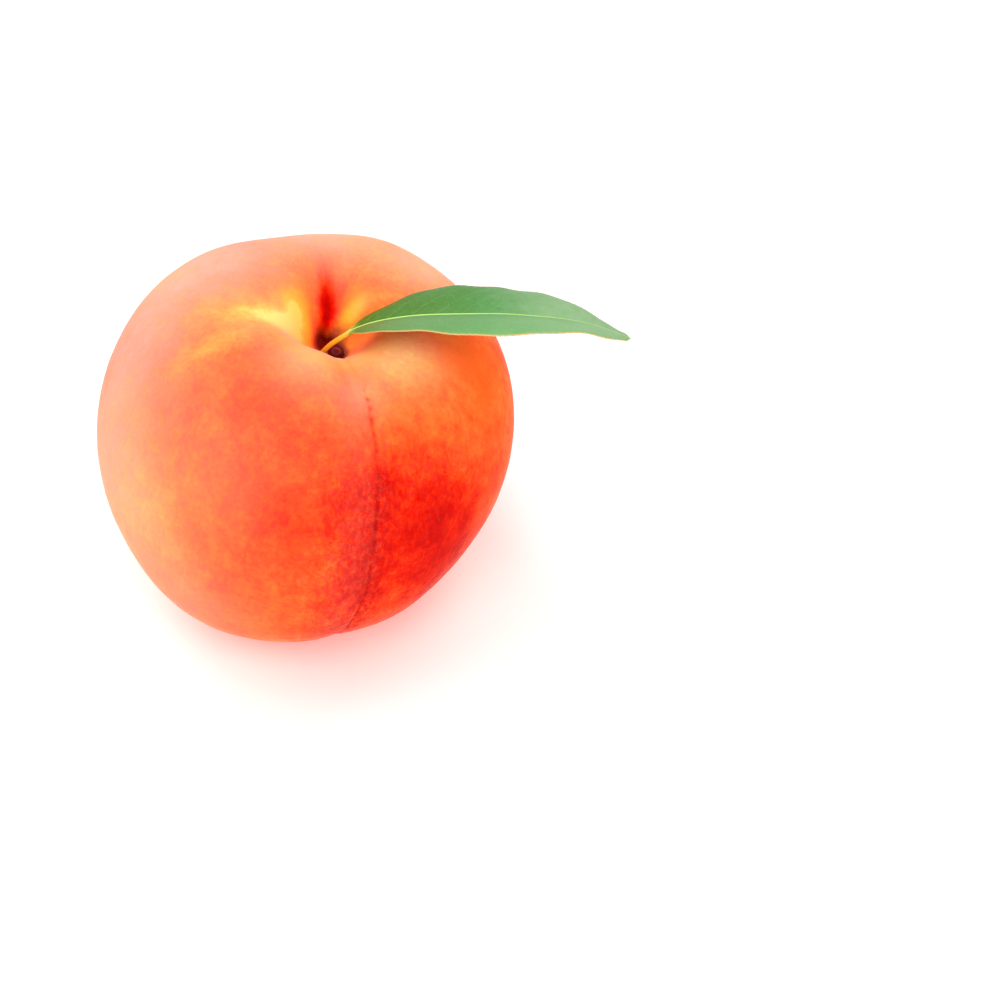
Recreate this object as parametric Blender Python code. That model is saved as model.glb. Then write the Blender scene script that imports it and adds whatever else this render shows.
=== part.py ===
"""A ripe peach with one leaf.

The fruit is one grown piece that rests on a small flat spot.  In its stem
cavity sit the dry woody stub of the stalk and the stalk of a single leaf,
whose blade arches out over the fruit's shoulder.

Metres, +Z up.  The origin is the centre of the flat spot that the fruit rests
on.  -Y is the front, +X the side that the leaf reaches towards.
"""
import bpy
import bmesh
import numpy as np
from math import radians, sin, cos, pi

# ---------------------------------------------------------------- dimensions
EQUATOR_RADIUS = 0.0380      # half the fruit's width
TOP_HEIGHT = 0.0362          # centre to crown, before the stem cavity is sunk
BOTTOM_DEPTH = 0.0364        # centre to blossom end
SHOULDER_ROUNDNESS = 2.16    # 2 is an ellipse, more gives broader shoulders
BOTTOM_ROUNDNESS = 2.0
AXIS_TILT = radians(10.5)    # the stem axis leans towards +X

# centre of the fruit above and beside the middle of its rest spot
FRUIT_CENTRE = (-0.0008, 0.0, 0.0356)

# gentle unevenness: azimuth, angle from the stem, reach (degrees), share of
# the radius that the skin stands out (+) or in (-)
LUMPS = (
    (30, 60, 26, 0.035),      # full right shoulder
    (75, 45, 18, 0.040),      # crown, behind the cavity
    (110, 50, 14, -0.030),    # dent beside it
    (150, 70, 25, 0.010),     # left cheek, behind
    (-120, 130, 24, 0.040),   # full lower left
    (-30, 105, 30, -0.050),   # flatter lower right
)

CAVITY_BROAD_DEPTH = 0.0050   # wide dip between the shoulders
CAVITY_BROAD_ANGLE = radians(30)
CAVITY_FUNNEL_DEPTH = 0.0082  # steep funnel round the stalk
CAVITY_FUNNEL_ANGLE = radians(14)
CAVITY_FUNNEL_POWER = 5.0

BLOSSOM_PLACE = (radians(200), radians(172))   # azimuth, angle from the stem
BLOSSOM_DEPTH = 0.0009

SUTURE_AZIMUTH = radians(-70.5)   # seam, on the front of the fruit
CREASE_AZIMUTH = radians(85)      # weaker crease on the far side of the cavity
VALLEY_AZIMUTH = radians(178)     # shallow valley that runs off to the left
RIGHT_VALLEY_AZIMUTH = radians(14)

STUB_PLACE = (0.0020, -0.0009)    # beside the stem axis, in the fruit's frame
STUB_RADIUS = 0.00135
STUB_HEIGHT = 0.0005
GAP = 0.0003                 # clearance between touching pieces

# middle of the leaf, from the end of its stalk to its tip, measured from the
# fruit's centre
LEAF_PATH = (
    (0.0037, -0.0017, 0.0232),
    (0.0061, -0.0010, 0.0254),
    (0.0115, -0.0006, 0.0289),
    (0.0197, -0.0014, 0.0319),
    (0.0299, -0.0026, 0.0336),
    (0.0387, -0.0032, 0.0340),
    (0.0497, -0.0029, 0.0320),
    (0.0588, -0.0020, 0.0272),
)
BLADE_START = 0.11           # share of the leaf's length that is bare stalk
BLADE_HALF_WIDTH = 0.0100
STALK_RADIUS = 0.00046
BLADE_THICKNESS = 0.00045
RIB_THICKNESS = 0.0011
RIB_HALF_WIDTH = 0.0007
FAR_HALF_SLOPE = radians(-13.5)   # the half towards +Y falls away,
NEAR_HALF_SLOPE = radians(-24.5)  # the half towards -Y lifts,
NEAR_FOOT_SLOPE = radians(-33)    # more steeply at the foot of the blade
MARGIN_WAVE = 0.0004          # the blade's edges rise and fall a little
MARGIN_WAVES = 2.3
LEAF_STATIONS = 40

MESH_STEPS = 26              # quads along each side of the six-sided grid
POLE_CROWDING = 0.52         # draws the grid together in the stem cavity


# ------------------------------------------------------------- fruit surface
def bump(x, width):
    return np.exp(-(x / width) ** 2)


def ramp(x, lo, hi):
    t = np.clip((x - lo) / (hi - lo), 0.0, 1.0)
    return t * t * (3 - 2 * t)


def suture_sway(theta):
    """The fold is not a true meridian: it leaves the cavity a little to the
    right and swings back onto its line half-way to the equator (metres)."""
    return 0.0021 * (1 - ramp(theta, radians(16), radians(66))) \
        - 0.0003 * ramp(theta, radians(70), radians(86))


def fruit_radius(d):
    """Distance from the fruit's centre to its skin along unit vectors d,
    in the fruit's own frame: +Z is the stem axis."""
    x, y, z = d[:, 0], d[:, 1], d[:, 2]
    st = np.sqrt(np.clip(x * x + y * y, 0, None))
    theta = np.arctan2(st, z)
    phi = np.arctan2(y, x)

    # body: broad-shouldered round
    polar = np.where(z > 0, TOP_HEIGHT, BOTTOM_DEPTH)
    n = np.where(z > 0, SHOULDER_ROUNDNESS, BOTTOM_ROUNDNESS)
    r = 1.0 / ((st / EQUATOR_RADIUS) ** n + (np.abs(z) / polar) ** n) ** (1 / n)
    lumps = 1.0
    for azimuth, angle, reach, amount in LUMPS:
        a, t = radians(azimuth), radians(angle)
        c = np.clip(x * sin(t) * cos(a) + y * sin(t) * sin(a) + z * cos(t), -1, 1)
        lumps = lumps + amount * bump(np.arccos(c), radians(reach))
    r = r * lumps

    # stem cavity, a little longer from side to side than from front to back
    oval = 1 + 0.10 * np.cos(2 * (phi - radians(10))) - 0.13 * np.cos(phi + radians(105))
    te = theta / oval
    dip = CAVITY_BROAD_DEPTH * bump(te, CAVITY_BROAD_ANGLE)
    dip += CAVITY_FUNNEL_DEPTH / (1 + (te / CAVITY_FUNNEL_ANGLE) ** CAVITY_FUNNEL_POWER)
    # deepest beside the stub
    dip += 0.0010 * bump(np.hypot(x * 0.023 + 0.0012, y * 0.023 - 0.0004), 0.0017) * (z > 0)

    # blossom end: a small pit that the suture runs out into
    a, t = BLOSSOM_PLACE
    c = np.clip(x * sin(t) * cos(a) + y * sin(t) * sin(a) + z * cos(t), -1, 1)
    dip += BLOSSOM_DEPTH * bump(np.arccos(c) * BOTTOM_DEPTH, 0.0018)

    def seam(azimuth):
        """sideways distance from a meridian (metres), and 1 on its side of
        the stem, 0 on the other"""
        s = EQUATOR_RADIUS * st * np.sin(phi - azimuth)
        front = ramp(np.cos(phi - azimuth), 0.0, 0.5) * ramp(theta, radians(2), radians(8))
        return s, front

    # suture: a wide soft valley with a narrow fold in it, deepest at the rim
    s, front = seam(SUTURE_AZIMUTH)
    side = np.where(s < 0, 0.0042, 0.0075)
    deep = 0.0030 * bump(theta - radians(21), radians(17)) \
        + 0.0005 * ramp(theta, radians(8), radians(30)) * (1 - ramp(theta, radians(125), radians(172)))
    dip += deep * front * bump(s, side)
    s = s - suture_sway(theta)
    dip += 0.0004 * front * bump(s, 0.0012) * ramp(theta, radians(6), radians(16)) \
        * (1 - ramp(theta, radians(125), radians(172)))

    # far crease: a wedge between two bulges of the cavity wall, opening upwards
    s, front = seam(CREASE_AZIMUTH)
    dip += 0.0026 * front * bump(s, 0.0006 + 0.0056 * theta) * bump(theta - radians(17), radians(10))
    dip += 0.0014 * front * bump(s, 0.0085) * bump(theta - radians(38), radians(20))
    for azimuth, height in ((CREASE_AZIMUTH + radians(40), 0.0013),
                            (CREASE_AZIMUTH - radians(40), 0.0013)):
        s, front = seam(azimuth)
        dip -= height * front * bump(s, 0.0008 + 0.0050 * theta) * bump(theta - radians(16), radians(7))

    # shallow valley to the left, and one hidden under the leaf to the right
    s, front = seam(VALLEY_AZIMUTH)
    dip += 0.0024 * front * bump(s, 0.0008 + 0.0090 * theta) * bump(theta - radians(22), radians(14))
    s, front = seam(RIGHT_VALLEY_AZIMUTH)
    dip += 0.0012 * front * bump(s, 0.0008 + 0.0090 * theta) * bump(theta - radians(16), radians(10))
    return r - dip


def crowd(d):
    """Evens out a cube grid and crowds it in the stem cavity."""
    d = np.tan(d * (pi / 4))
    d /= np.linalg.norm(d, axis=1)[:, None]
    st = np.hypot(d[:, 0], d[:, 1])
    theta = np.arctan2(st, d[:, 2])
    phi = np.arctan2(d[:, 1], d[:, 0])
    theta = theta - POLE_CROWDING * np.sin(theta) * (1 + np.cos(theta)) / 2
    return np.stack([np.sin(theta) * np.cos(phi), np.sin(theta) * np.sin(phi),
                     np.cos(theta)], axis=1)


def place(p):
    """Fruit frame to world: lean the stem axis towards +X, lift onto the spot."""
    t = AXIS_TILT
    x = p[:, 0] * cos(t) + p[:, 2] * sin(t)
    z = -p[:, 0] * sin(t) + p[:, 2] * cos(t)
    return np.stack([x, p[:, 1], z], axis=1) + np.array(FRUIT_CENTRE)


def fruit_mesh(steps):
    bm = bmesh.new()
    bmesh.ops.create_cube(bm, size=2.0)
    bmesh.ops.subdivide_edges(bm, edges=bm.edges[:], cuts=steps - 1, use_grid_fill=True)
    bm.verts.ensure_lookup_table()
    d = crowd(np.array([v.co[:] for v in bm.verts]))
    p = place(d * fruit_radius(d)[:, None])
    for v, co in zip(bm.verts, p):
        v.co = co
    return bm


def new_object(name, bm, colour, roughness):
    mesh = bpy.data.meshes.new(name)
    bm.to_mesh(mesh)
    bm.free()
    mesh.shade_smooth()
    mat = bpy.data.materials.new(name + "_material")
    mat.use_nodes = True
    shader = mat.node_tree.nodes["Principled BSDF"]
    shader.inputs["Base Color"].default_value = (*colour, 1)
    shader.inputs["Roughness"].default_value = roughness
    mesh.materials.append(mat)
    obj = bpy.data.objects.new(name, mesh)
    bpy.context.scene.collection.objects.link(obj)
    return obj


def build_fruit():
    bm = fruit_mesh(MESH_STEPS)
    # press the flat rest spot
    geom = bm.verts[:] + bm.edges[:] + bm.faces[:]
    cut = bmesh.ops.bisect_plane(bm, geom=geom, dist=1e-7, plane_co=(0, 0, 0),
                                 plane_no=(0, 0, -1), clear_outer=True)
    edges = [e for e in bm.edges if e.is_boundary]
    bmesh.ops.holes_fill(bm, edges=edges, sides=0)
    bmesh.ops.recalc_face_normals(bm, faces=bm.faces[:])
    return new_object("peach_fruit", bm, (0.90, 0.26, 0.08), 0.6)


def floor_height(x, y):
    """Height of the cavity floor over (x, y), all in the fruit's frame."""
    z = np.full_like(x, 0.023)
    for _ in range(60):
        p = np.stack([x, y, z], axis=1)
        d = p / np.linalg.norm(p, axis=1)[:, None]
        r = fruit_radius(d)
        z = 0.5 * z + 0.5 * np.sqrt(np.clip(r * r - x * x - y * y, 1e-6, None))
    return z


def build_stub():
    """Dry end of the fruit's own stalk: a short post with a raised rim and a
    sunken middle, its foot following the cavity floor."""
    sides = 20
    rings = (            # share of the radius, height above the foot
        (1.15, 0.0), (0.97, 0.00020), (1.0, 0.00040),
        (0.92, STUB_HEIGHT), (0.70, STUB_HEIGHT - 0.00006), (0.52, STUB_HEIGHT - 0.00026),
        (0.20, STUB_HEIGHT - 0.00020),
    )
    bm = bmesh.new()
    loops = []
    angle = 2 * pi * np.arange(sides) / sides
    for k, (share, rise) in enumerate(rings):
        wobble = 1 + 0.05 * np.sin(3 * angle + 0.6) + 0.03 * np.sin(5 * angle + 2.0)
        x = STUB_PLACE[0] + STUB_RADIUS * share * wobble * np.cos(angle)
        y = STUB_PLACE[1] + STUB_RADIUS * share * wobble * np.sin(angle)
        if k == 0:
            z = floor_height(x, y) + 1.8 * GAP
            top = float(z.max())
        else:
            z = np.full_like(x, top + rise)
        pts = place(np.stack([x, y, z], axis=1))
        loops.append([bm.verts.new(tuple(q)) for q in pts])
    for low, high in zip(loops[:-1], loops[1:]):
        for i in range(sides):
            j = (i + 1) % sides
            bm.faces.new((low[i], low[j], high[j], high[i]))
    bm.faces.new(loops[0][::-1])
    bm.faces.new(loops[-1])
    bmesh.ops.recalc_face_normals(bm, faces=bm.faces[:])
    return new_object("stem_stub", bm, (0.16, 0.05, 0.02), 0.8)


def through(points, share):
    """Points on a smooth curve through the given ones, at shares of its length."""
    p = np.array(points)
    p = np.vstack([2 * p[0] - p[1], p, 2 * p[-1] - p[-2]])
    dense = []
    for i in range(1, len(p) - 2):
        for t in np.linspace(0, 1, 40, endpoint=False):
            dense.append(0.5 * ((2 * p[i]) + (-p[i - 1] + p[i + 1]) * t
                                + (2 * p[i - 1] - 5 * p[i] + 4 * p[i + 1] - p[i + 2]) * t ** 2
                                + (-p[i - 1] + 3 * p[i] - 3 * p[i + 1] + p[i + 2]) * t ** 3))
    dense.append(p[-2])
    dense = np.array(dense)
    run = np.concatenate([[0], np.cumsum(np.linalg.norm(np.diff(dense, axis=0), axis=1))])
    at = np.asarray(share) * run[-1]
    return np.stack([np.interp(at, run, dense[:, k]) for k in range(3)], axis=1)


def half_width(t):
    """Lance-shaped outline: t runs from the foot of the blade to its tip."""
    return BLADE_HALF_WIDTH * np.sin(pi * np.clip(t, 0, 1) ** 0.85) ** 0.75


def far_share(t):
    """The far half is a little narrower than the near one at both ends."""
    return 1 - 0.10 * (1 - ramp(t, 0.08, 0.25)) - 0.28 * ramp(t, 0.70, 0.97)


def near_slope(t):
    return NEAR_FOOT_SLOPE + (NEAR_HALF_SLOPE - NEAR_FOOT_SLOPE) * ramp(t, 0.0, 0.45)


def leaf_frames(shares):
    """Middle, forward, sideways (+Y side) and upward directions of the leaf."""
    mid = through(LEAF_PATH, shares) + np.array(FRUIT_CENTRE)
    ahead = through(LEAF_PATH, np.clip(shares + 0.01, 0, 1))
    behind = through(LEAF_PATH, np.clip(shares - 0.01, 0, 1))
    fwd = ahead - behind
    fwd /= np.linalg.norm(fwd, axis=1)[:, None]
    side = np.array([0.0, 1.0, 0.0]) - fwd * fwd[:, 1:2]
    side /= np.linalg.norm(side, axis=1)[:, None]
    up = np.cross(fwd, side)
    return mid, fwd, side, up


def build_leaf():
    """Stalk, midrib and blade, lofted as one closed body."""
    stalk = np.linspace(0, BLADE_START, 8, endpoint=False)
    blade = np.linspace(BLADE_START, 0.992, LEAF_STATIONS - 8)
    shares = np.concatenate([stalk, blade])
    mid, fwd, side, up = leaf_frames(shares)
    bm = bmesh.new()
    loops = []
    for k, share in enumerate(shares):
        t = (share - BLADE_START) / (1 - BLADE_START)
        spread = float(half_width(np.array(t))) if t > 0 else 0.0
        w = max(spread, STALK_RADIUS * (1 - 0.75 * max(t, 0)))
        flat = float(ramp(np.array(w), 1.2 * STALK_RADIUS, 4 * STALK_RADIUS))
        rib = min(RIB_HALF_WIDTH, 0.45 * w) * (1 - 0.5 * max(t, 0))
        # across the leaf, from its -Y edge to its +Y edge
        round_u = np.cos(np.linspace(pi, 0, 9)) * w
        blade_u = np.array([-w, -0.72 * w, -0.40 * w, -rib, 0, rib, 0.40 * w, 0.72 * w, w])
        blade_u = np.where(blade_u > rib, blade_u * float(far_share(np.array(max(t, 0)))), blade_u)
        across = (1 - flat) * round_u + flat * blade_u
        round_h = np.sqrt(np.clip(w * w - round_u ** 2, 0, None)) * (STALK_RADIUS / max(w, STALK_RADIUS))
        rib_t = (RIB_THICKNESS * (1 - 0.6 * max(t, 0)))
        above = np.full(9, BLADE_THICKNESS / 2)
        below = np.full(9, BLADE_THICKNESS / 2)
        below[4] = rib_t - BLADE_THICKNESS / 2
        above[0] = above[8] = below[0] = below[8] = BLADE_THICKNESS / 4
        above = (1 - flat) * round_h + flat * above
        below = (1 - flat) * round_h + flat * below
        if flat < 1:
            above[[0, 8]] = np.maximum(above[[0, 8]], BLADE_THICKNESS / 4)
            below[[0, 8]] = np.maximum(below[[0, 8]], BLADE_THICKNESS / 4)
        near = float(near_slope(np.array(t)))
        wave = flat * MARGIN_WAVE * sin(MARGIN_WAVES * 2 * pi * t)
        ring = []
        for sign, order in ((1, range(9)), (-1, range(8, -1, -1))):
            for i in order:
                a = across[i]
                slope = flat * (FAR_HALF_SLOPE if a > 0 else near)
                lean = flat * (FAR_HALF_SLOPE + near) / 2
                out = side[k] * cos(slope) + up[k] * sin(slope)
                nrm = up[k] * cos(lean) - side[k] * sin(lean)
                h = above[i] if sign > 0 else -below[i]
                h += wave * (a / w) ** 2 * (-0.6 if a > 0 else -0.8)
                q = mid[k] + out * a + nrm * h
                ring.append(bm.verts.new(tuple(q)))
        loops.append(ring)
    n = len(loops[0])
    for low, high in zip(loops[:-1], loops[1:]):
        for i in range(n):
            j = (i + 1) % n
            bm.faces.new((low[i], low[j], high[j], high[i]))
    bm.faces.new(loops[0][::-1])
    bm.faces.new(loops[-1])
    bmesh.ops.recalc_face_normals(bm, faces=bm.faces[:])
    return new_object("leaf", bm, (0.16, 0.42, 0.18), 0.45)


for old in list(bpy.data.objects):
    bpy.data.objects.remove(old)
build_fruit()
build_stub()
build_leaf()
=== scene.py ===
"""Looks of the peach: fine skin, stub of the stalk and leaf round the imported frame.

Metres, +Z up, the frame's own origin: the middle of the flat spot that the
fruit rests on.  -Y is the front, +X the side that the leaf reaches towards.
"""

import bpy
import numpy as np
from math import radians, sin, cos, pi
from mathutils import Matrix, Vector


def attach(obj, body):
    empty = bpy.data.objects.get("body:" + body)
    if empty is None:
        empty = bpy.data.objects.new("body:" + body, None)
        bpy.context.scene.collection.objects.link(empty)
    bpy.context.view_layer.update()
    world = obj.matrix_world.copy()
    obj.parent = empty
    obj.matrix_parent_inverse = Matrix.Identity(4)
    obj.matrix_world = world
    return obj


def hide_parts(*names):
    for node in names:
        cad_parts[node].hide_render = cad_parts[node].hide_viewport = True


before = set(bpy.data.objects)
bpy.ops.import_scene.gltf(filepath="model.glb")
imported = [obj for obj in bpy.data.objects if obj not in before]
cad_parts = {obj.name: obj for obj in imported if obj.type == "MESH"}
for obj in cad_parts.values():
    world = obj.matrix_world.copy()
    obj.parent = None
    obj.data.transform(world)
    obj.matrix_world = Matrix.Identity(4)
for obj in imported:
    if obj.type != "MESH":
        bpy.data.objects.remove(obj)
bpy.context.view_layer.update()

# ------------------------------------------------------------ shared shape
# The same driving sizes and curves as the solids.
EQUATOR_RADIUS = 0.0380
TOP_HEIGHT = 0.0362
BOTTOM_DEPTH = 0.0364
SHOULDER_ROUNDNESS = 2.16
BOTTOM_ROUNDNESS = 2.0
AXIS_TILT = radians(10.5)
FRUIT_CENTRE = (-0.0008, 0.0, 0.0356)
LUMPS = (
    (30, 60, 26, 0.035), (75, 45, 18, 0.040), (110, 50, 14, -0.030),
    (150, 70, 25, 0.010), (-120, 130, 24, 0.040), (-30, 105, 30, -0.050),
)
CAVITY_BROAD_DEPTH = 0.0050
CAVITY_BROAD_ANGLE = radians(30)
CAVITY_FUNNEL_DEPTH = 0.0082
CAVITY_FUNNEL_ANGLE = radians(14)
CAVITY_FUNNEL_POWER = 5.0
BLOSSOM_PLACE = (radians(200), radians(172))
BLOSSOM_DEPTH = 0.0009
SUTURE_AZIMUTH = radians(-70.5)
CREASE_AZIMUTH = radians(85)
VALLEY_AZIMUTH = radians(178)
RIGHT_VALLEY_AZIMUTH = radians(14)
POLE_CROWDING = 0.52
SEAM_CROWDING = 0.62         # draws the fine grid together along the suture
SKIN_STEPS = 120

STUB_PLACE = (0.0020, -0.0009)
STUB_RADIUS = 0.00135
STUB_HEIGHT = 0.0005
GAP = 0.0003

LEAF_PATH = (
    (0.0037, -0.0017, 0.0232), (0.0061, -0.0010, 0.0254), (0.0115, -0.0006, 0.0289),
    (0.0197, -0.0014, 0.0319), (0.0299, -0.0026, 0.0336), (0.0387, -0.0032, 0.0340),
    (0.0497, -0.0029, 0.0320), (0.0588, -0.0020, 0.0272),
)
BLADE_START = 0.11
BLADE_HALF_WIDTH = 0.0100
STALK_RADIUS = 0.00046
BLADE_THICKNESS = 0.00036
RIB_THICKNESS = 0.00095
FAR_HALF_SLOPE = radians(-13.5)
NEAR_HALF_SLOPE = radians(-24.5)
NEAR_FOOT_SLOPE = radians(-33)
MARGIN_WAVE = 0.0004
MARGIN_WAVES = 2.3


def bump(x, width):
    return np.exp(-(x / width) ** 2)


def ramp(x, lo, hi):
    t = np.clip((x - lo) / (hi - lo), 0.0, 1.0)
    return t * t * (3 - 2 * t)


def spherical(d):
    st = np.hypot(d[:, 0], d[:, 1])
    return np.arctan2(st, d[:, 2]), np.arctan2(d[:, 1], d[:, 0]), st


def away(d, azimuth, polar):
    """Angle between unit vectors d and one direction, in radians."""
    c = d[:, 0] * sin(polar) * cos(azimuth) + d[:, 1] * sin(polar) * sin(azimuth) + d[:, 2] * cos(polar)
    return np.arccos(np.clip(c, -1, 1))


def seam(d, azimuth):
    """Sideways distance from a meridian in metres, and 1 on its side of the
    stem, 0 on the other."""
    theta, phi, st = spherical(d)
    s = EQUATOR_RADIUS * st * np.sin(phi - azimuth)
    front = ramp(np.cos(phi - azimuth), 0.0, 0.5) * ramp(theta, radians(2), radians(8))
    return s, front


def suture_sway(theta):
    """How far the fold lies beside its meridian, in metres."""
    return 0.0021 * (1 - ramp(theta, radians(16), radians(66))) \
        - 0.0003 * ramp(theta, radians(70), radians(86))


def fruit_radius(d):
    x, y, z = d[:, 0], d[:, 1], d[:, 2]
    theta, phi, st = spherical(d)
    polar = np.where(z > 0, TOP_HEIGHT, BOTTOM_DEPTH)
    n = np.where(z > 0, SHOULDER_ROUNDNESS, BOTTOM_ROUNDNESS)
    r = 1.0 / ((st / EQUATOR_RADIUS) ** n + (np.abs(z) / polar) ** n) ** (1 / n)
    lumps = 1.0
    for azimuth, angle, reach, amount in LUMPS:
        lumps = lumps + amount * bump(away(d, radians(azimuth), radians(angle)), radians(reach))
    r = r * lumps

    oval = 1 + 0.10 * np.cos(2 * (phi - radians(10))) - 0.13 * np.cos(phi + radians(105))
    te = theta / oval
    dip = CAVITY_BROAD_DEPTH * bump(te, CAVITY_BROAD_ANGLE)
    dip += CAVITY_FUNNEL_DEPTH / (1 + (te / CAVITY_FUNNEL_ANGLE) ** CAVITY_FUNNEL_POWER)
    dip += 0.0010 * bump(np.hypot(x * 0.023 + 0.0012, y * 0.023 - 0.0004), 0.0017) * (z > 0)
    dip += BLOSSOM_DEPTH * bump(away(d, *BLOSSOM_PLACE) * BOTTOM_DEPTH, 0.0018)

    s, front = seam(d, SUTURE_AZIMUTH)
    fade = 1 - ramp(theta, radians(125), radians(172))
    side = np.where(s < 0, 0.0042, 0.0075)
    deep = 0.0030 * bump(theta - radians(21), radians(17)) \
        + 0.0005 * ramp(theta, radians(8), radians(30)) * fade
    dip += deep * front * bump(s, side)
    s = s - suture_sway(theta)
    dip += 0.0004 * front * bump(s, 0.0012) * ramp(theta, radians(6), radians(16)) * fade

    s, front = seam(d, CREASE_AZIMUTH)
    dip += 0.0026 * front * bump(s, 0.0006 + 0.0056 * theta) * bump(theta - radians(17), radians(10))
    dip += 0.0014 * front * bump(s, 0.0085) * bump(theta - radians(38), radians(20))
    for azimuth, height in ((CREASE_AZIMUTH + radians(40), 0.0013),
                            (CREASE_AZIMUTH - radians(40), 0.0013)):
        s, front = seam(d, azimuth)
        dip -= height * front * bump(s, 0.0008 + 0.0050 * theta) * bump(theta - radians(16), radians(7))

    s, front = seam(d, VALLEY_AZIMUTH)
    dip += 0.0024 * front * bump(s, 0.0008 + 0.0090 * theta) * bump(theta - radians(22), radians(14))
    s, front = seam(d, RIGHT_VALLEY_AZIMUTH)
    dip += 0.0012 * front * bump(s, 0.0008 + 0.0090 * theta) * bump(theta - radians(16), radians(10))
    return r - dip


def place(p):
    t = AXIS_TILT
    x = p[:, 0] * cos(t) + p[:, 2] * sin(t)
    z = -p[:, 0] * sin(t) + p[:, 2] * cos(t)
    return np.stack([x, p[:, 1], z], axis=1) + np.array(FRUIT_CENTRE)


# ---------------------------------------------------------------- helpers
def lattice(ix, iy, iz, seed):
    """A repeatable number from 0 to 1 for each whole-number point."""
    with np.errstate(over="ignore"):
        h = (ix.astype(np.uint64) * np.uint64(73856093)) ^ (iy.astype(np.uint64) * np.uint64(19349663)) \
            ^ (iz.astype(np.uint64) * np.uint64(83492791)) ^ np.uint64(seed * 2654435761 % 2 ** 32)
        h = (h ^ (h >> np.uint64(13))) * np.uint64(1274126177)
        h = h ^ (h >> np.uint64(16))
    return (h & np.uint64(0xFFFFFF)).astype(float) / 0xFFFFFF


def noise(p, size, seed=1, octaves=2):
    """Smooth value noise from -1 to 1; size is the width of a patch."""
    total, amp, norm = 0.0, 1.0, 0.0
    for o in range(octaves):
        q = p / size * 2 ** o + 1000.0
        i = np.floor(q).astype(np.int64)
        f = q - i
        f = f * f * f * (f * (f * 6 - 15) + 10)
        v = 0.0
        for dx in (0, 1):
            for dy in (0, 1):
                for dz in (0, 1):
                    w = (f[:, 0] if dx else 1 - f[:, 0]) * (f[:, 1] if dy else 1 - f[:, 1]) \
                        * (f[:, 2] if dz else 1 - f[:, 2])
                    v = v + w * lattice(i[:, 0] + dx, i[:, 1] + dy, i[:, 2] + dz, seed + o)
        total = total + amp * (v * 2 - 1)
        norm += amp
        amp *= 0.5
    return total / norm


def srgb(r, g, b, a=1.0):
    def lin(c):
        c = c / 255
        return c / 12.92 if c <= 0.04045 else ((c + 0.055) / 1.055) ** 2.4
    return (lin(r), lin(g), lin(b), a)


def mesh_object(name, verts, faces, smooth=True):
    mesh = bpy.data.meshes.new(name)
    mesh.from_pydata([tuple(v) for v in verts], [], faces)
    mesh.update()
    if smooth:
        mesh.shade_smooth()
    obj = bpy.data.objects.new(name, mesh)
    bpy.context.scene.collection.objects.link(obj)
    return obj


def attribute(obj, name, values):
    values = np.asarray(values, dtype=np.float32)
    kind = "FLOAT_VECTOR" if values.ndim == 2 else "FLOAT"
    att = obj.data.attributes.new(name, kind, "POINT")
    att.data.foreach_set("vector" if values.ndim == 2 else "value", values.ravel())


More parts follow.
